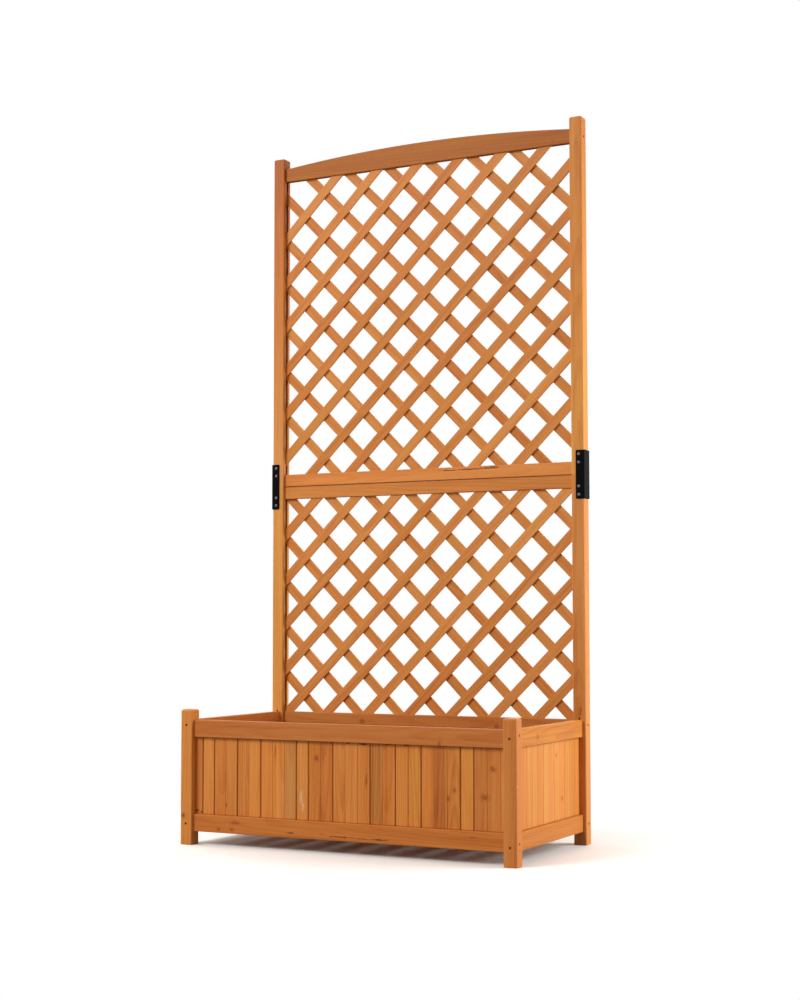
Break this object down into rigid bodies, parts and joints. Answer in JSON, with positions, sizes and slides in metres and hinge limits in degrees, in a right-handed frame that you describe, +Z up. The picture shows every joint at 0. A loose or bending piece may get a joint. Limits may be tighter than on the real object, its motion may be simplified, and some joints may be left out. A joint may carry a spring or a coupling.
{
  "type": "planter with trellis",
  "caption": "Free-standing wooden planter box on corner legs, with tall rear posts, a tongue-and-groove board skirt, a slatted floor and a diagonal lattice trellis under an arched top rail.",
  "frame": {"origin": "on the floor, in the middle of the plan of the four corner posts", "axes": "+X to the right seen from the front, +Y from the front to the trellis at the back, +Z up"},
  "size_m": [0.766, 0.39, 1.534],
  "materials": {
    "wood_posts": "satin stain, fine straight grain",
    "wood_rails": "satin stain, grain along the rail",
    "wood_boards": "satin stain, vertical grain, varied boards",
    "wood_slats": "satin stain, grain along the slat",
    "wood_floor": "satin stain, plain sawn",
    "bracket_black": "satin black powder coat",
    "bracket_screws": "grey zinc plate",
    "frame_screws": "dark coated steel"
  },
  "bodies": {
    "root": {"front_leg_left": "wood_posts", "front_leg_right": "wood_posts", "rear_post_lower_left": "wood_posts", "rear_post_upper_left": "wood_posts", "rear_post_lower_right": "wood_posts", "rear_post_upper_right": "wood_posts", "front_top_rail": "wood_rails", "front_bottom_rail": "wood_rails", "front_boards": "wood_boards", "back_top_rail": "wood_rails", "back_bottom_rail": "wood_rails", "back_boards": "wood_boards", "left_top_rail": "wood_rails", "left_bottom_rail": "wood_rails", "left_boards": "wood_boards", "right_top_rail": "wood_rails", "right_bottom_rail": "wood_rails", "right_boards": "wood_boards", "floor_cleat_front": "wood_floor", "floor_cleat_back": "wood_floor", "floor_slat_01": "wood_floor", "floor_slat_02": "wood_floor", "floor_slat_03": "wood_floor", "floor_slat_04": "wood_floor", "floor_slat_05": "wood_floor", "floor_slat_06": "wood_floor", "floor_slat_07": "wood_floor", "floor_slat_08": "wood_floor", "floor_slat_09": "wood_floor", "floor_slat_10": "wood_floor", "lower_trellis_top_rail": "wood_rails", "upper_trellis_bottom_rail": "wood_rails", "arched_top_rail": "wood_rails", "lower_front_slats": "wood_slats", "lower_back_slats": "wood_slats", "upper_front_slats": "wood_slats", "upper_back_slats": "wood_slats", "joint_bracket_left": "bracket_black", "joint_bracket_right": "bracket_black", "bracket_screws": "bracket_screws", "frame_screws": "frame_screws", "trellis_screws": "frame_screws"}
  },
  "joints": []
}
